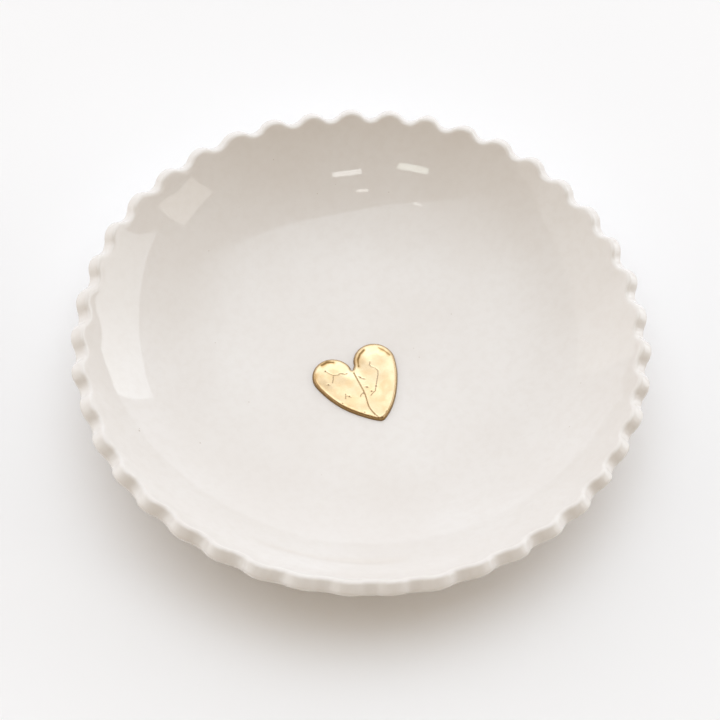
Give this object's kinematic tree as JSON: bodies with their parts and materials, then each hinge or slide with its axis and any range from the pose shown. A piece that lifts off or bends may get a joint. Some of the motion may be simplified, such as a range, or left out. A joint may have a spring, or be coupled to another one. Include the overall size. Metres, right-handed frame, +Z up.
{
  "type": "trinket dish",
  "caption": "Shallow round ceramic trinket dish with a scalloped rim, glossy white glaze and a small raised gold heart on its floor.",
  "frame": {"origin": "middle of the foot, on the surface that the dish stands on", "axes": "+Z is up, out of the dish. The heart's point is towards -Y and its lobes are towards +Y. +X is to the right when the heart is seen upright"},
  "size_m": [0.1092, 0.109, 0.0186],
  "materials": {
    "bisque_clay": "matt fired white clay",
    "white_glaze": "gloss milky white glaze",
    "gold_lustre": "bright gold lustre"
  },
  "bodies": {
    "root": {"clay_body": "bisque_clay", "heart_applique": "bisque_clay", "glaze_coat": "white_glaze", "gold_lustre": "gold_lustre"}
  },
  "joints": []
}
